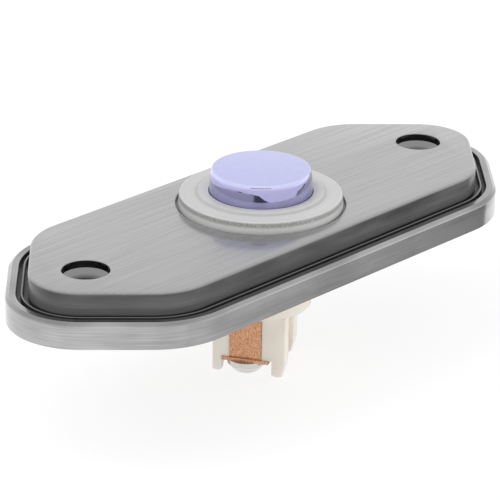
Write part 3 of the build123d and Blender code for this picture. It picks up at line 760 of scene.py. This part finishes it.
# Light ring: stepped lens, lip over the plunger and sleeve through the plate
ring = turned("frosted_ring", [
    (RING_RADIUS, SEAT_FLOOR), (RING_RADIUS, PLATE_HEIGHT), (RING_RADIUS - RING_TAPER, TREAD_HEIGHT),
    (TREAD_INNER_RADIUS, TREAD_HEIGHT), (RING_TOP_RADIUS, RING_TOP), (LIP_RADIUS, RING_TOP),
    (LIP_RADIUS, LIP_BOTTOM), (SLEEVE_BORE, LIP_BOTTOM), (SLEEVE_BORE, SLEEVE_BOTTOM),
    (SLEEVE_RADIUS, SLEEVE_BOTTOM), (SLEEVE_RADIUS, SEAT_FLOOR)],
    rounds=[(2, 0.3, 4), (3, 0.08, 2), (4, 0.14, 3), (5, 0.12, 3)], closed=True, steps=128)
ring.data.materials.append(frosted)
finish_piece(ring, "base", "light_ring")

# Cap: thin plated cup with a rounded top edge
cap_bore = CAP_RADIUS - CAP_WALL
cap_ceiling = CAP_TOP - CAP_WALL
cap = turned("plated_cap", [
    (0, CAP_TOP), (CAP_FLAT_RADIUS, CAP_TOP), (CAP_SHOULDER_RADIUS, CAP_SHOULDER_HEIGHT),
    (CAP_RADIUS, RING_TOP), (CAP_RADIUS, LIP_BOTTOM), (cap_bore, LIP_BOTTOM), (cap_bore, cap_ceiling),
    (0, cap_ceiling)], rounds=[(1, 0.1, 4), (2, 0.55, 10)], steps=128)
cap.data.materials.append(plating)
finish_piece(cap, "button", "button_cap")

# Return spring: a round section wound up the barrel
wire_end = WIRE_RADIUS + SPRING_CLEARANCE
fresh()
bpy.ops.mesh.primitive_circle_add(
    vertices=10, radius=WIRE_RADIUS * MM, rotation=(math.radians(90), 0, 0),
    location=(SPRING_RADIUS * MM, 0, (SPRING_FLOOR + wire_end) * MM))
spring = bpy.context.object
spring.name = "wound_spring"
bpy.ops.object.transform_apply(location=True, rotation=True)
winding = spring.modifiers.new("winding", "SCREW")
winding.angle = SPRING_TURNS * 2 * math.pi
winding.screw_offset = (SPRING_TOP - SPRING_FLOOR - 2 * wire_end) * MM
winding.steps = 100
winding.render_steps = 100
bpy.ops.object.modifier_apply(modifier="winding")
bpy.ops.object.mode_set(mode="EDIT")
close_shell()
bpy.ops.mesh.fill_holes(sides=0)
bpy.ops.mesh.normals_make_consistent(inside=False)
bpy.ops.object.mode_set(mode="OBJECT")
spring.data.materials.append(spring_wire)
finish_piece(spring, "base", "return_spring")
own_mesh(spring)


def softened(node, name, edge, material):
    """Merged copy of a node with its sharp edges rounded, as moulding or stamping leaves them."""
    piece = bpy.data.objects.new(name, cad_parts[node].data.copy())
    bpy.context.scene.collection.objects.link(piece)
    piece.data.materials.clear()
    take(piece)
    bpy.ops.object.mode_set(mode="EDIT")
    bpy.ops.mesh.select_all(action="SELECT")
    bpy.ops.mesh.customdata_custom_splitnormals_clear()
    bpy.ops.mesh.remove_doubles(threshold=0.001 * MM)
    bpy.ops.mesh.dissolve_limited(angle_limit=math.radians(0.5))
    bpy.ops.object.mode_set(mode="OBJECT")
    rounding = piece.modifiers.new("rounding", "BEVEL")
    rounding.width = edge * MM
    rounding.segments = 2
    rounding.limit_method = "ANGLE"
    rounding.angle_limit = math.radians(SHARP_ANGLE)
    bpy.ops.object.modifier_apply(modifier="rounding")
    piece.data.materials.append(material)
    finish_piece(piece, "base", node)


# Switch housing and its two copper strips
softened("switch_housing", "nylon_housing", MOULDED_EDGE, nylon)
softened("front_terminal", "front_copper", STAMPED_EDGE, copper)
softened("rear_terminal", "rear_copper", STAMPED_EDGE, copper)


def recess_blade(turn):
    """Blade of a cross recess: a bar that tapers upwards, across the end of a screw head."""
    fresh()
    bpy.ops.mesh.primitive_cube_add(size=2 * MM)
    blade = bpy.context.object
    bpy.ops.object.mode_set(mode="EDIT")
    bpy.ops.mesh.select_all(action="SELECT")
    bpy.ops.transform.resize(value=(RECESS_HALF_LENGTH, RECESS_HALF_WIDTH, RECESS_DEPTH))
    pick(blade, "FACE", lambda face: face.normal.z > 0.9)
    bpy.ops.transform.resize(value=(RECESS_FLOOR_LENGTH, RECESS_FLOOR_WIDTH, 1))
    bpy.ops.mesh.select_all(action="SELECT")
    bpy.ops.transform.rotate(value=turn, orient_axis="Z", center_override=(0, 0, 0))
    bpy.ops.object.mode_set(mode="OBJECT")
    shift(blade, (0, 0, -HEAD_HEIGHT))
    return blade


def in_recess(face):
    """Whether a face of a screw lies in its cross recess."""
    middle = face.calc_center_median() / MM
    in_depth = -RECESS_ZONE_BOTTOM < middle.z < -RECESS_ZONE_TOP
    return in_depth and math.hypot(middle.x, middle.y) < RECESS_ZONE_RADIUS


def screw_place(angle):
    """Point under a tab where the axis of its screw is, for a terminal at an angle from +X."""
    out = Matrix.Rotation(math.radians(angle), 3, "Z") @ Vector((TERMINAL_SCREW_OUT, 0, 0))
    aside = Matrix.Rotation(math.radians(SWITCH_TURN), 3, "Z") @ Vector((0, TERMINAL_SCREW_SIDE, 0))
    return out + aside + Vector((0, 0, TAB_BOTTOM))


# Terminal screws: domed head with a cross recess, modelled once and copied, driven up through the tabs
screw = turned("nickel_screws", [
    (0, -HEAD_HEIGHT), (HEAD_CROWN_RADIUS, -HEAD_HEIGHT), (HEAD_CREASE_RADIUS, -HEAD_CREASE_DEPTH),
    (HEAD_RADIUS, -HEAD_SIDE), (HEAD_RADIUS, 0), (THREAD_RADIUS, 0), (THREAD_RADIUS, THREAD_LENGTH),
    (0, THREAD_LENGTH)], rounds=[(1, 0.9, 8), (3, 0.08, 2), (6, 0.3, 2)])
for turn in (SWITCH_TURN, SWITCH_TURN + 90):
    cut(screw, recess_blade(math.radians(turn)))
# The cross recess gets the nickel with painted shade
coat(screw, nickel, recess_shade_nickel, in_recess)
twin = bpy.data.objects.new("nickel_screw_twin", screw.data.copy())
bpy.context.scene.collection.objects.link(twin)
shift(screw, screw_place(SWITCH_TURN))
shift(twin, screw_place(SWITCH_TURN + 180))
take(screw)
twin.select_set(True)
bpy.ops.object.join()
finish_piece(screw, "base", "terminal_screws")

# Pieces whose solids already have the right shape keep them and get their finish
for node, material in {
    "plunger": milky, "contact_bridge": copper, "lamp_board": board_green, "lamp_chips": lamp_resin,
    "lamp_resistor": resistor_glaze, "board_pins": nickel,
}.items():
    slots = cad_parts[node].data.materials
    slots.clear()
    slots.append(material)


def seen_rays(tree):
    """1 for rays from the camera, from metal and through clear plastic, 0 for rays that only carry light."""
    path = add(tree, "ShaderNodeLightPath")
    direct = add(tree, "ShaderNodeMath", {
        0: path["Is Camera Ray"], 1: path["Is Glossy Ray"]}, operation="MAXIMUM")[0]
    return add(tree, "ShaderNodeMath", {0: direct, 1: path["Is Transmission Ray"]}, operation="MAXIMUM")[0]


def facing(place, aim):
    """Turn of an object at a place whose -Z axis looks at a point."""
    return (Vector(aim) - Vector(place)).to_track_quat("-Z", "Y")


def softbox(name, place, aim, watts):
    """Square area lamp at a place, turned towards a point, in millimetres; mirrors don't show it."""
    lamp_data = bpy.data.lights.new(name, "AREA")
    lamp_data.shape = "SQUARE"
    lamp_data.size = SOFTBOX_SIZE * MM
    lamp_data.energy = watts
    lamp = bpy.data.objects.new(name, lamp_data)
    lamp.location = Vector(place) * MM
    lamp.rotation_euler = facing(place, aim).to_euler()
    lamp.visible_glossy = False
    bpy.context.scene.collection.objects.link(lamp)


def black_card(name, width, height, place, aim=(0, 0, 0)):
    """Black card at a place, turned towards a point, in millimetres, that only mirrors see.

    Returns its node tree, its shader and the place on it.
    """
    fresh()
    bpy.ops.mesh.primitive_plane_add(size=MM, location=Vector(place) * MM)
    card = bpy.context.object
    card.name = name
    card.rotation_euler = facing(place, aim).to_euler()
    bpy.ops.object.mode_set(mode="EDIT")
    bpy.ops.mesh.select_all(action="SELECT")
    bpy.ops.transform.resize(value=(width, height, 1), orient_type="LOCAL")
    bpy.ops.object.mode_set(mode="OBJECT")
    card.visible_camera = False
    card.visible_diffuse = False
    card.visible_transmission = False
    card.visible_shadow = False
    paint, tree, shader, card_place = start_material(name)
    feed(tree, shader, {"Base Color": linear("0C0C0C"), "Roughness": 0.8})
    card.data.materials.append(paint)
    return tree, shader, card_place


# Pale floor under the legs, with the object's shadow
fresh()
bpy.ops.mesh.primitive_plane_add(size=FLOOR_SIZE * MM, location=(0, 0, FLOOR_HEIGHT * MM))
floor = bpy.context.object
floor.name = "floor"
floor_paint, tree, shader, _ = start_material("white sweep")
glow = add(tree, "ShaderNodeMapRange", {"Value": seen_rays(tree), "To Min": 0.5, "To Max": 0.81})[0]
feed(tree, shader, {
    "Base Color": linear("7C7C7C"), "Roughness": 0.9, "Emission Color": linear("FFFFFF"),
    "Emission Strength": glow})
floor.data.materials.append(floor_paint)

# White room that camera, metal and clear plastic all see; it fills the shadows softly
world = bpy.data.worlds.new("white room")
bpy.context.scene.world = world
world.use_nodes = True
tree = world.node_tree
glow = add(tree, "ShaderNodeMapRange", {"Value": seen_rays(tree), "To Min": 0.75, "To Max": 1.0})[0]
feed(tree, tree.nodes["Background"], {"Color": linear("FFFFFF"), "Strength": glow})

# Soft lamps: from above, from low in front, and from the right
softbox("key softbox", place=(-250, 150, 450), aim=(0, 0, 0), watts=1.0)
softbox("low front fill", place=(-450, -400, 80), aim=SWITCH_AIM, watts=1.0)
softbox("right side fill", place=(450, -350, 60), aim=SWITCH_AIM, watts=1.8)

# Dark skirting of the room, low behind the camera, for the dark line on the cap's edge
black_card("black_strip", width=500, height=26, place=(-440, -409, 96.5))

# Dark wall behind the camera that shows only in a reflection of a reflection, low on the cap
tree, shader, _ = black_card("black_wall", width=300, height=300, place=(-407, -378, 236))
path = add(tree, "ShaderNodeLightPath")
again = add(tree, "ShaderNodeMath", {0: path["Glossy Depth"], 1: 1.5}, operation="GREATER_THAN")[0]
feed(tree, shader, {"Alpha": again})

# Dark card on the floor, denser to the right, for the shade along the rim's front
tree, shader, card_place = black_card(
    "black_floor", width=180, height=50, place=(55, -55, -18), aim=(55, -55, -1000))
card_axes = add(tree, "ShaderNodeSeparateXYZ", {"Vector": card_place})
dense = add(tree, "ShaderNodeMapRange", {
    "Value": card_axes["X"], "From Min": -90 * MM, "From Max": 30 * MM, "To Min": 0.1, "To Max": 0.8})[0]
feed(tree, shader, {"Alpha": dense})

# Camera at the photograph's place
camera_data = bpy.data.cameras.new("camera")
camera_data.lens = LENS
camera_data.sensor_width = SENSOR_WIDTH
camera_data.clip_start = 0.01
camera = bpy.data.objects.new("camera", camera_data)
bpy.context.scene.collection.objects.link(camera)
camera_turn = facing(CAMERA_PLACE, CAMERA_AIM).to_matrix().to_4x4()
camera_roll = Matrix.Rotation(math.radians(CAMERA_ROLL), 4, "Z")
camera.matrix_world = Matrix.Translation(Vector(CAMERA_PLACE) * MM) @ camera_turn @ camera_roll
bpy.context.scene.camera = camera

bpy.context.scene.view_settings.view_transform = "Standard"
